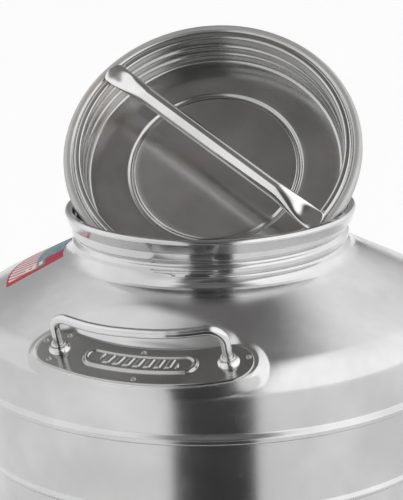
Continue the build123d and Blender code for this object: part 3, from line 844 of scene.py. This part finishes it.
class MILKCAN_OT_neck(PieceOperator, bpy.types.Operator):
    """Make the neck with its rolled thread and mouth curl"""

    bl_idname = "milkcan.neck"
    bl_label = "Neck"

    def build(self, scene):
        body = scene.can_body
        top = can_height()
        radius, sheet = body.neck_radius, body.sheet
        out = radius + body.curl_width - sheet
        foot = top - body.curl_height + sheet * 0.5
        points = [
            (SPLIT_RADIUS, shoulder_height(SPLIT_RADIUS)),
            (radius, top - body.shoulder_drop),
            (radius, top - sheet),
            (out, top - sheet),
            (out - body.curl_taper, foot),
            (radius + 0.0001, foot + 0.0006),
        ]
        bends = [body.neck_bend, body.curl_bend, body.curl_bend, body.curl_bend / 3]
        line = filled(rounded(points, bends), THREAD_STEP)
        loop, _ = sheet_loop(line, sheet)
        angles = even_angles(330)
        grid = turned(loop, angles)
        groove = helix_groove(angles[None, :], grid[..., 2], top - body.thread_drop,
                              body.thread_pitch, body.thread_turns, body.thread_start,
                              body.thread_half)
        wall = (loop[:, :1] < radius + 0.0035) & (loop[:, 1:] < top - body.curl_height * 0.5)
        shrink = 1 - body.thread_depth * groove * wall / loop[:, :1]
        grid[..., :2] *= shrink[..., None]
        add_piece("neck", [grid], "can", ["shoulder_shell"],
                  finish("neck_steel"))


class MILKCAN_OT_shoulder(PieceOperator, bpy.types.Operator):
    """Make the shoulder and skirt with both pressed handle seats"""

    bl_idname = "milkcan.shoulder"
    bl_label = "Shoulder"

    def build(self, scene):
        body = scene.can_body
        skirt = skirt_radius()
        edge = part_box("shoulder_shell")[0].z
        corner = shoulder_height(skirt)
        seat_low = corner - 0.016      # nothing is pressed in below this height
        points = [(skirt + dr, edge + dz) for dr, dz in BEAD_POINTS]
        points += [(skirt, corner), (SPLIT_RADIUS, shoulder_height(SPLIT_RADIUS))]
        line = rounded(points, [*BEAD_BENDS, body.skirt_bend], SHOULDER_ARC_STEP)
        bead = rounded(points[:5], BEAD_BENDS)[:-1]
        plain = np.array([[skirt, z] for z in np.linspace(bead[-1][1], seat_low, 6)[1:]])
        upper = filled(np.concatenate([plain[-1:], line[line[:, 1] > seat_low]]),
                       SHOULDER_STEP)
        line = np.concatenate([bead, plain[:-1], upper])
        loop, outer_rows = sheet_loop(line, body.sheet, 4)
        grid = turned(loop, self.angles())
        grid[:outer_rows] = press_seats(grid[:outer_rows], 0.0)
        grid[outer_rows:] = press_seats(grid[outer_rows:], body.sheet)
        add_piece("shoulder", [grid], "can", ["shoulder_shell"],
                  finish("body_steel"))

    def angles(self):
        """Angles round the can that stand closer where the seats' walls are."""
        middle = np.linspace(0, 12, 20, endpoint=False)
        wall = np.linspace(12, 31, 72, endpoint=False)
        plain = np.linspace(31, 149, 52, endpoint=False)
        half = np.concatenate([middle, wall, plain, 180 - wall[::-1], 180 - middle[::-1]])
        degrees = np.unique(np.round(np.concatenate([half, half + 180]), 4) % 360)
        return np.radians(degrees)


class MILKCAN_OT_barrel(PieceOperator, bpy.types.Operator):
    """Make the barrel with its two ribs and its welded seam"""

    bl_idname = "milkcan.barrel"
    bl_label = "Barrel"

    def build(self, scene):
        body = scene.can_body
        low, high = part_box("barrel_shell")
        radius = high.x - body.rib_rise
        seam_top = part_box("shoulder_shell")[0].z
        seam_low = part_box("bottom_pan")[1].z
        points = [(radius, low.z)]
        bends = []
        crest = body.rib_crest
        for middle in (seam_low + body.rib_drop, seam_top - body.rib_drop):
            points += [
                (radius, middle - body.rib_half),
                (radius + body.rib_rise, middle - crest),
                (radius + body.rib_rise, middle + crest),
                (radius, middle + body.rib_half),
            ]
            bends += RIB_BENDS
        points.append((radius, high.z))
        line = filled(rounded(points, bends), BARREL_STEP)
        loop, _ = sheet_loop(line, body.sheet)
        add_piece("barrel", [turned(loop, even_angles(300))], "can",
                  ["barrel_shell"], finish("body_steel"))
        self.seam(body, seam_low + body.seam_inset, seam_top - body.seam_inset, line, radius)

    def seam(self, body, low, high, line, radius):
        """A ribbon down the side of the barrel: a low arch across it, rippled along it."""
        z = np.linspace(low, high, 520)[:, None]
        order = np.argsort(line[:, 1])
        wall = np.interp(z, line[order, 1], line[order, 0])
        s = np.linspace(-1, 1, 9)[None, :]
        ripple = 0.75 + 0.25 * np.cos(z * FULL_TURN / body.seam_ripple + s * s * 2.2)
        top = wall + body.seam_rise * (1 - s * s) * ripple
        under = np.broadcast_to(wall - 0.0003, top.shape)[:, ::-1]
        reach = np.concatenate([top, under], 1)
        side = np.concatenate([s, s[:, ::-1]], 1) * body.seam_half / radius + math.pi / 2
        height = np.broadcast_to(z, reach.shape)
        grid = np.stack([reach * np.sin(side), -reach * np.cos(side), height], -1)
        ends = np.repeat(grid[[0, -1]].mean(1, keepdims=True), grid.shape[1], axis=1)
        grid = np.concatenate([ends[:1], grid, ends[1:]])
        add_piece("barrel_seam", [grid], "can", ["barrel_seam_weld"],
                  finish("ground_weld"), wrap_rows=False)


class MILKCAN_OT_bottom(PieceOperator, bpy.types.Operator):
    """Make the drawn bottom and the hoop it stands on"""

    bl_idname = "milkcan.bottom"
    bl_label = "Bottom"

    def build(self, scene):
        body = scene.can_body
        skirt = skirt_radius()
        low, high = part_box("bottom_pan")
        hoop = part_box("base_hoop")[1]
        heel = low.z
        floor = heel + body.floor_rise
        points = [(0, floor), (hoop.x - body.floor_inset, floor),
                  (hoop.x - body.heel_inset, heel), (skirt, heel)]
        points += [(skirt + dr, high.z - dz) for dr, dz in reversed(BEAD_POINTS)]
        bends = [body.floor_bend, body.floor_bend, body.heel_bend, *reversed(BEAD_BENDS)]
        line = filled(rounded(points, bends, BOTTOM_ARC_STEP), BOTTOM_STEP)
        loop, _ = sheet_loop(line, body.sheet)
        steel_finish = finish("body_steel")
        add_piece("bottom", [turned(loop, even_angles(256))], "can",
                  ["bottom_pan"], steel_finish)
        foot = rounded([(hoop.x, heel), (hoop.x, 0), (hoop.x - body.hoop_foot, 0)],
                       [body.hoop_bend])
        foot_loop, _ = sheet_loop(filled(foot, body.hoop_sheet), -body.hoop_sheet)
        add_piece("base_hoop_ring", [turned(foot_loop, even_angles(256))], "can",
                  ["base_hoop"], steel_finish)


class MILKCAN_OT_welds(PieceOperator, bpy.types.Operator):
    """Make the three fillet welds round the body"""

    bl_idname = "milkcan.welds"
    bl_label = "Body welds"

    def build(self, scene):
        for node in ("shoulder_seam_weld", "bottom_seam_weld", "base_hoop_weld"):
            low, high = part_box(node)
            upwards = node == "bottom_seam_weld"
            # Their dark seam finish is painted shade of the corners these fillets fill, not the
            # welds' own colour
            add_piece(node + "_bead", [self.ring(high.x, low.z, high.z, upwards)], "can",
                      [node], finish("seam_weld"))

    def ring(self, outer, low, high, upwards):
        """A hollow-faced fillet whose face ripples round the can."""
        size = high - low
        angles = even_angles(1100)
        s = np.linspace(0, 1, 6)[:, None]
        ripple = 0.10 * size * np.cos(angles * 275)[None, :] * np.sin(s * math.pi)
        face_r = outer - size + size * (1 - s) ** 1.3 + ripple
        face_z = size * s ** 1.3 + ripple
        radius = np.concatenate([face_r, np.full((1, len(angles)), outer - size)])
        height = np.concatenate([face_z, np.zeros((1, len(angles)))])
        height = low + height if upwards else high - height
        return np.stack([radius * np.sin(angles), -radius * np.cos(angles), height], -1)


class MILKCAN_OT_handles(PieceOperator, bpy.types.Operator):
    """Make both handles: plate, grip, collars and spot welds"""

    bl_idname = "milkcan.handles"
    bl_label = "Handles"

    def build(self, scene):
        handle = scene.can_handle
        leg_x, leg_y = leg_place()
        for side, name in enumerate(("front", "back")):
            place = on_seat(side)
            add_piece(name + "_plate", [place(self.plate(handle))], "can",
                      [name + "_handle_plate"], finish("plate_steel"), wrap_rows=False)
            add_piece(name + "_grip", [place(self.grip(handle, leg_x, leg_y))], "can",
                      [name + "_handle_grip"], finish("rod_steel"),
                      wrap_rows=False)
            legs = [(-leg_x, leg_y, handle.plate_sheet), (leg_x, leg_y, handle.plate_sheet)]
            add_piece(name + "_collars", dome(legs, self.collar(handle), 56, place), "can",
                      [name + "_handle_collars"], finish("rod_steel"))
            add_piece(name + "_weld_marks",
                      dome(self.marks(handle, leg_x, leg_y), NUGGET_SECTION, 24, place), "can",
                      [name + "_spot_welds"], finish("ground_weld"),
                      wrap_rows=False)

    def plate(self, handle):
        """Kidney-shaped plate with a raised badge that carries slanted bars.

        Rows run from the plate's middle line out to its edge, and columns round its outline:
        outer side, right end, inner side, left end. The height adds smooth steps for the
        badge's rim, its hollow face and the bars on it.
        """
        arc, limit = handle.plate_arc, handle.leg_angle
        half, sheet = handle.plate_width / 2, handle.plate_sheet
        along = np.linspace(-limit, limit, 270)
        end = np.linspace(0, math.pi, 60)[1:-1]
        theta = np.concatenate([along, np.full(end.size, limit), along[::-1],
                                np.full(end.size, -limit)])
        beta = np.concatenate([np.zeros(along.size), end, np.full(along.size, math.pi),
                               end + math.pi])
        middle = np.stack([arc * np.sin(theta), arc - arc * np.cos(theta)], -1)
        away = np.stack([np.sin(theta), -np.cos(theta)], -1) * np.cos(beta)[:, None]
        away += np.stack([np.cos(theta), np.sin(theta)], -1) * np.sin(beta)[:, None]
        edge_turn = np.linspace(0, math.pi / 2, 5)
        soft = handle.edge_round
        rho = np.linspace(0, half - soft, 44)
        reach = np.concatenate([rho, half - soft + soft * np.sin(edge_turn[1:]), [half, 0]])
        flat = middle[None] + away[None] * reach[:, None, None]
        top = self.plate_height(handle, flat[:44, :, 0], flat[:44, :, 1])
        rim = sheet - soft + soft * np.cos(edge_turn[1:])
        low = np.concatenate([rim, [0, 0]])
        height = np.concatenate([top, np.broadcast_to(low[:, None], (6, theta.size))])
        return np.concatenate([flat, height[..., None]], -1)

    def plate_height(self, handle, u, w):
        """Height of the plate's face: the badge's rim, its sunk field and the slanted bars."""
        offset = handle.badge_offset
        gap = slot_distance(u, w, handle.plate_arc, handle.badge_angle,
                            handle.badge_width / 2, offset)
        badge = smooth_step(0.5 - (gap + 0.0007) / 0.0014)
        field = smooth_step(0.5 - (gap + handle.field_inset) / 0.0010)
        along = handle.plate_arc * np.arctan2(u, handle.plate_arc - w + offset)
        across = np.hypot(u, handle.plate_arc - w + offset) - handle.plate_arc
        phase = (along + 0.35 * across) * FULL_TURN / handle.bar_spacing
        bars = smooth_step(0.5 + 1.6 * np.cos(phase))
        inside = smooth_step((0.0042 - np.abs(across)) / 0.0009)
        inside *= smooth_step((0.0262 - np.abs(along)) / 0.0012)
        return (handle.plate_sheet + handle.badge_rise * badge - handle.field_depth * field
                + handle.bar_rise * bars * inside)

    def grip(self, handle, leg_x, leg_y):
        """Bent rod: legs out of the seat joined by a bow that follows the plate."""
        bow = handle.bow_share * leg_x
        front = -handle.bow_front
        top = handle.grip_height
        line = rounded([
            (-leg_x, leg_y, 0.0002), (-leg_x, leg_y, top), (-bow, front, top),
            (bow, front, top), (leg_x, leg_y, top), (leg_x, leg_y, 0.0002),
        ], [handle.grip_bend, 2 * leg_x, 2 * leg_x, handle.grip_bend], FINE_ARC_STEP)
        return swept(filled(line, 0.002), handle.rod / 2, 40, np.array([0.0, 1.0, 0.0]))

    def collar(self, handle):
        """Section of a flared collar: a hollow flare up to a rounded lip on the rod."""
        bore = handle.rod / 2 + 0.00002
        high = handle.collar_height
        t = np.linspace(0, 1, 16)
        foot, head, lip = handle.collar_foot, handle.collar_head, handle.collar_round
        radius = head + (foot - head) * (1 - t) ** 2.6
        height = 0.0006 + (high - 0.0006 - lip) * t
        turn = np.linspace(0, math.pi / 2, 5)[1:]
        lip_r = head - lip * (1 - np.cos(turn))
        lip_z = high - lip + lip * np.sin(turn)
        flare = np.stack([np.append(radius, lip_r), np.append(height, lip_z)], -1)
        return np.concatenate([[(bore, 0), (foot, 0)], flare, [(bore, high)]])

    def marks(self, handle, leg_x, leg_y):
        """Where the spot welds are, on top of the plate."""
        width, sheet = handle.plate_width, handle.plate_sheet
        edge = width / 2 - handle.nugget_inset
        spots = [(0, edge, sheet), (0, -edge, sheet)]
        for side in (-1, 1):
            for across, up in NUGGET_SPOTS:
                spots.append((side * (leg_x + across * width), leg_y + up * width, sheet))
        return spots


class MILKCAN_OT_label(PieceOperator, bpy.types.Operator):
    """Make the printed label on the shoulder"""

    bl_idname = "milkcan.label"
    bl_label = "Label"

    def build(self, scene):
        """A thin shell on the cone: rows go out along the slope, columns round the can."""
        body, label = scene.can_body, scene.can_label
        slope = body.shoulder_slope
        begin = body.neck_radius + label.neck_gap
        across = np.linspace(0, 1, 61)[None, :]
        down = np.linspace(0, 1, 41)[:, None]
        angles = label.start + label.span * across
        radius = begin + label.run * down * math.cos(slope)
        sheets = []
        for lift in (label.lift, label.gap):
            r = radius + lift * math.sin(slope) + 0 * angles
            z = shoulder_height(begin) - label.run * down * math.sin(slope)
            z = z + lift * math.cos(slope) + 0 * angles
            sheets.append(np.stack([r * np.sin(angles), -r * np.cos(angles), z], -1))
        grid = np.concatenate([sheets[0], sheets[1][:, ::-1]], 1)
        grid = self.with_ends(grid)
        uv = np.stack(np.broadcast_arrays(across, down), -1)
        uv = np.concatenate([uv, uv[:, ::-1]], 1)
        uv = np.concatenate([uv[:1], uv, uv[-1:]])
        add_piece("label", [grid], "can", ["shoulder_label"],
                  finish("label_film"), wrap_rows=False, uv=uv)

    def with_ends(self, grid):
        """The grid with its two open ends folded flat onto their middle line."""
        half = grid.shape[1] // 2
        ends = []
        for row in (grid[0], grid[-1]):
            middle = (row[:half] + row[half:][::-1]) / 2
            ends.append(np.concatenate([middle, middle[::-1]])[None])
        return np.concatenate([ends[0], grid, ends[1]])


class MILKCAN_OT_lid(PieceOperator, bpy.types.Operator):
    """Make the pressed lid with its thread and the gasket under its rim"""

    bl_idname = "milkcan.lid"
    bl_label = "Lid"

    def build(self, scene):
        body, lid = scene.can_body, scene.can_lid
        ring, depth, radius = lid.ring_radius, lid.depth, lid.radius
        groove, half = radius - lid.groove_inset, lid.groove_half
        dish, low = -depth - lid.dish, -depth - lid.ring_depth
        points = [
            (0, dish), (ring - lid.ring_half, dish),
            (ring - lid.ring_crest, low), (ring + lid.ring_crest, low),
            (ring + lid.ring_half, -depth - 0.0010), (lid.wall_foot, -depth),
            (lid.wall_top, 0), (groove - half, 0), (groove, -half), (groove + half, 0),
            (radius, 0), (radius, -lid.skirt),
        ]
        line = rounded(points, [*RING_BENDS, lid.foot_bend, *RIM_BENDS])
        on_wall = line[:, 0] > lid.wall_foot - 0.004
        floor = filled(line[:np.argmax(on_wall) + 1], 0.004)
        wall = filled(line[np.argmax(on_wall):], THREAD_STEP)
        line = np.concatenate([floor[:-1], wall])
        loop, _ = sheet_loop(line, -lid.sheet, 2)
        angles = even_angles(280)
        grid = turned(loop, angles)
        bulge = helix_groove(angles[None, :], grid[..., 2], lid.thread_rise - depth,
                             body.thread_pitch, lid.thread_turns, lid.thread_start,
                             body.thread_half)
        middle = (lid.wall_foot + lid.wall_top) / 2
        wall_rows = np.abs(loop[:, :1] - middle - lid.sheet / 2) < 0.0024
        push = lid.thread_height * bulge * wall_rows / np.maximum(loop[:, :1], 0.01)
        grid[..., :2] *= (1 + push)[..., None]
        add_piece("lid", [in_lid(grid)], "lid", ["lid_pan"],
                  finish("lid_steel"))
        self.gasket(lid)

    def gasket(self, lid):
        """Flat rubber ring with rounded edges under the rim."""
        top, low = -lid.gasket_drop, -lid.gasket_drop - lid.gasket_sheet
        inner = lid.wall_top + lid.sheet + lid.gasket_inner
        outer = lid.radius - lid.sheet - lid.gasket_outer
        middle = (inner + outer) / 2
        loop = rounded([(middle, top), (outer, top), (outer, low), (inner, low), (inner, top),
                        (middle, top)], [0.0005] * 4)
        add_piece("gasket", [in_lid(turned(loop[:-1], even_angles(200)))], "lid",
                  ["lid_gasket"], finish("seal_rubber"))


class MILKCAN_OT_bar(PieceOperator, bpy.types.Operator):
    """Make the tube across the lid and its tack welds"""

    bl_idname = "milkcan.bar"
    bl_label = "Lid bar"

    def build(self, scene):
        lid = scene.can_lid
        add_piece("bar", [in_bar(self.bar(lid))], "lid", ["lid_bar"],
                  finish("bar_steel"), wrap_rows=False)
        x, y = lid.radius - lid.tack_inset, lid.tack_side
        spots = [(sx * x, sy * y, 0.00005) for sx in (-1, 1) for sy in (-1, 1)]
        add_piece("bar_tacks", dome(spots, TACK_SECTION, 24, in_bar), "lid",
                  ["lid_bar_welds"], finish("ground_weld"), wrap_rows=False)

    def bar(self, lid):
        """A tube that flattens towards its ends.

        Each ring is a rounded oval. Its half width, half height, squareness and middle
        height go by a smooth step from the round tube to the flat tongue on the rim, and a
        bell-shaped dent sinks the top where the tube is pinched. The tongue's plan ends in
        a quarter ellipse on each side.
        """
        full, end = lid.bar_length, lid.bar_length - lid.tongue_inset
        begin = full - lid.flat_start - 0.005
        x = np.concatenate([np.linspace(0, begin, 24)[:-1], np.linspace(begin, end, 60)[:-1],
                            end + lid.tongue_inset * np.sin(np.linspace(0, math.pi / 2, 14))])
        x = np.concatenate([-x[:0:-1], x])[:, None]
        reach = np.abs(x)
        r = lid.bar_diameter / 2
        pinch = smooth_step((reach - full + lid.flat_start) / lid.flat_run)
        spread = smooth_step((reach - full + lid.flat_start + 0.004) / (lid.flat_run + 0.002))
        past = np.clip((reach - end) / lid.tongue_inset, 0, 1)
        width = (r + (lid.tongue_half - r) * spread) * np.sqrt(np.maximum(0, 1 - past ** 2.6))
        height = r + (lid.tongue_height - r) * pinch
        low = lid.tongue_height + lid.tongue_gap
        middle = lid.bar_rise + (low - lid.bar_rise) * pinch
        power = 1 - 0.35 * pinch
        a = even_angles(56)[None, :]
        c, s = np.cos(a), np.sin(a)
        y = width * np.sign(c) * np.abs(c) ** power
        dent = lid.dent_depth * np.exp(-((reach - full + lid.dent_place) / lid.dent_run) ** 2)
        z = middle + height * np.sign(s) * np.abs(s) ** power
        z = z - dent * np.clip(s, 0, 1) ** 1.5 * np.cos(y / 0.0085 * math.pi / 2) ** 2
        return np.stack([np.broadcast_to(x, y.shape), y, z], -1)


class MILKCAN_OT_stage(bpy.types.Operator):
    """Make the floor, the room's light and the camera"""

    bl_idname = "milkcan.stage"
    bl_label = "Stage"
    bl_options = {"REGISTER", "UNDO"}

    def execute(self, context):
        stage = context.scene.can_stage
        self.floor(stage)
        self.room(context.scene, stage)
        self.dark_card(stage)
        self.camera(context.scene, stage)
        return {"FINISHED"}

    def floor(self, stage):
        """A wide plain floor."""
        mesh = bpy.data.meshes.new("floor")
        reach = 40.0
        mesh.from_pydata([(-reach, -reach, 0), (reach, -reach, 0), (reach, reach, 0),
                          (-reach, reach, 0)], [], [(0, 1, 2, 3)])
        material, shader = new_material("floor_paint")
        finish_material(shader, Base_Color=(*stage.floor_colour, 1.0), Roughness=0.9,
                        Specular_IOR_Level=0.1, Emission_Color=(1.0, 1.0, 1.0, 1.0),
                        Emission_Strength=stage.floor_glow)
        mesh.materials.append(material)
        floor = bpy.data.objects.new("floor", mesh)
        bpy.context.scene.collection.objects.link(floor)

    def room(self, scene, stage):
        """Light from two wide soft walls with a dark gap between them in the camera's plane.

        A direction's part to the right of the camera's plane goes through a smooth step for
        the right wall and, turned round, for the left wall. The gap between them stays dark
        in front and is a little lighter overhead and behind the can.
        """
        world = bpy.data.worlds.new("room")
        scene.world = world
        world.use_nodes = True
        shader = Shader(world.node_tree)
        direction = shader.node("ShaderNodeTexCoord", None, None, 0)
        c, s = math.cos(stage.azimuth), math.sin(stage.azimuth)
        right = self.along(shader, direction, (c, s, 0))
        front = self.along(shader, direction, (s, -c, 0))
        height = self.along(shader, direction, (0, 0, 1))
        back = shader.smooth(front * -1, 0.45, 0.95)
        right_level = 1.44 - shader.smooth(front * -1, -0.2, 0.4) * 0.14 - back * 0.4
        left_level = 1.12 - shader.smooth(front, 0.3, 0.8) * 0.24 - back * 0.6
        right_edge = right - shader.smooth(height * -1, -0.2, 0.3) * 0.1
        right_share = shader.smooth(right_edge, 0.20, 0.42)
        left_share = shader.smooth(right * -1, 0.20, 0.36)
        walls = (right_share * right_level + left_share * left_level) * stage.walls
        gap = back * 0.22 + shader.smooth(height, 0.7, 0.97) * 0.10 + 0.08
        gap = gap * (1 - right_share - left_share)
        tone = shader.vector(walls + gap * 1.03, walls + gap, walls + gap * 0.99)
        background = shader.node("ShaderNodeBackground", None,
                                 {"Color": tone,
                                  "Strength": stage.sky})
        shader.node("ShaderNodeOutputWorld", None, {"Surface": background})
        scene.view_settings.view_transform = "Standard"

    def along(self, shader, direction, axis):
        """How far a direction points along an axis."""
        return shader.node("ShaderNodeVectorMath", {"operation": "DOT_PRODUCT"},
                           {0: direction, 1: axis}, 1)

    def dark_card(self, stage):
        """A black fan on the floor towards the camera, seen only in reflections."""
        near, far, spread = stage.card_near, stage.card_far, stage.card_spread
        ends = [(near, -spread), (far, -spread), (far, spread), (near, spread)]
        corners = [(r * math.sin(stage.azimuth + a), -r * math.cos(stage.azimuth + a), 0.002)
                   for r, a in ends]
        mesh = bpy.data.meshes.new("dark_card")
        mesh.from_pydata(corners, [], [(0, 1, 2, 3)])
        material, shader = new_material("dark_cloth")
        finish_material(shader, Base_Color=(0.03, 0.03, 0.03, 1.0), Roughness=1.0)
        mesh.materials.append(material)
        card = bpy.data.objects.new("dark_card", mesh)
        card.visible_camera = False
        card.visible_diffuse = False
        card.visible_shadow = False
        bpy.context.scene.collection.objects.link(card)

    def camera(self, scene, stage):
        """A camera aimed at the mouth's middle, then panned, tilted and rolled."""
        reach = stage.distance * math.cos(stage.elevation)
        offset = Vector((reach * math.sin(stage.azimuth), -reach * math.cos(stage.azimuth),
                         stage.distance * math.sin(stage.elevation)))
        forward = -offset.normalized()
        right = forward.cross(Vector((0, 0, 1))).normalized()
        up = right.cross(forward)
        pan = Matrix.Rotation(stage.pan, 3, up)
        forward, right = pan @ forward, pan @ right
        tilt = Matrix.Rotation(stage.tilt, 3, right)
        forward, up = tilt @ forward, tilt @ up
        roll = Matrix.Rotation(stage.roll, 3, forward)
        right, up = roll @ right, roll @ up
        lens = bpy.data.cameras.new("camera")
        lens.sensor_fit = "VERTICAL"
        lens.sensor_height = 24.0
        lens.lens = stage.lens
        lens.clip_end = 200.0
        camera = bpy.data.objects.new("camera", lens)
        turn = Matrix((right, up, -forward)).transposed().to_4x4()
        camera.matrix_world = Matrix.Translation(offset + Vector((0, 0, can_height()))) @ turn
        scene.collection.objects.link(camera)
        scene.camera = camera


class MILKCAN_PT_panel(bpy.types.Panel):
    """The can's sizes, finishes and steps in the sidebar"""

    bl_label = "Milk Can"
    bl_idname = "MILKCAN_PT_panel"
    bl_space_type = "VIEW_3D"
    bl_region_type = "UI"
    bl_category = "Milk Can"

    def draw(self, context):
        layout = self.layout
        for name, group in GROUPS.items():
            box = layout.box()
            box.label(text=group.__doc__)
            for size in group.__annotations__:
                box.prop(getattr(context.scene, name), size)
        for step in STEPS:
            layout.operator(step.bl_idname)


GROUPS = {
    "can_body": BodySizes,
    "can_handle": HandleSizes,
    "can_label": LabelSizes,
    "can_lid": LidSizes,
    "can_finish": Finishes,
    "can_stage": StageSettings,
}
STEPS = (
    MILKCAN_OT_finishes,
    MILKCAN_OT_neck,
    MILKCAN_OT_shoulder,
    MILKCAN_OT_barrel,
    MILKCAN_OT_bottom,
    MILKCAN_OT_welds,
    MILKCAN_OT_handles,
    MILKCAN_OT_label,
    MILKCAN_OT_lid,
    MILKCAN_OT_bar,
    MILKCAN_OT_stage,
)


def register():
    for cls in (*GROUPS.values(), *STEPS, MILKCAN_PT_panel):
        bpy.utils.register_class(cls)
    for name, group in GROUPS.items():
        setattr(bpy.types.Scene, name, bpy.props.PointerProperty(type=group))


def unregister():
    for name in GROUPS:
        delattr(bpy.types.Scene, name)
    for cls in (MILKCAN_PT_panel, *reversed(STEPS), *reversed(GROUPS.values())):
        bpy.utils.unregister_class(cls)


def main():
    register()
    for step in STEPS:
        getattr(bpy.ops.milkcan, step.bl_idname.split(".")[1])()
    bpy.context.view_layer.update()


if __name__ == "__main__":
    main()
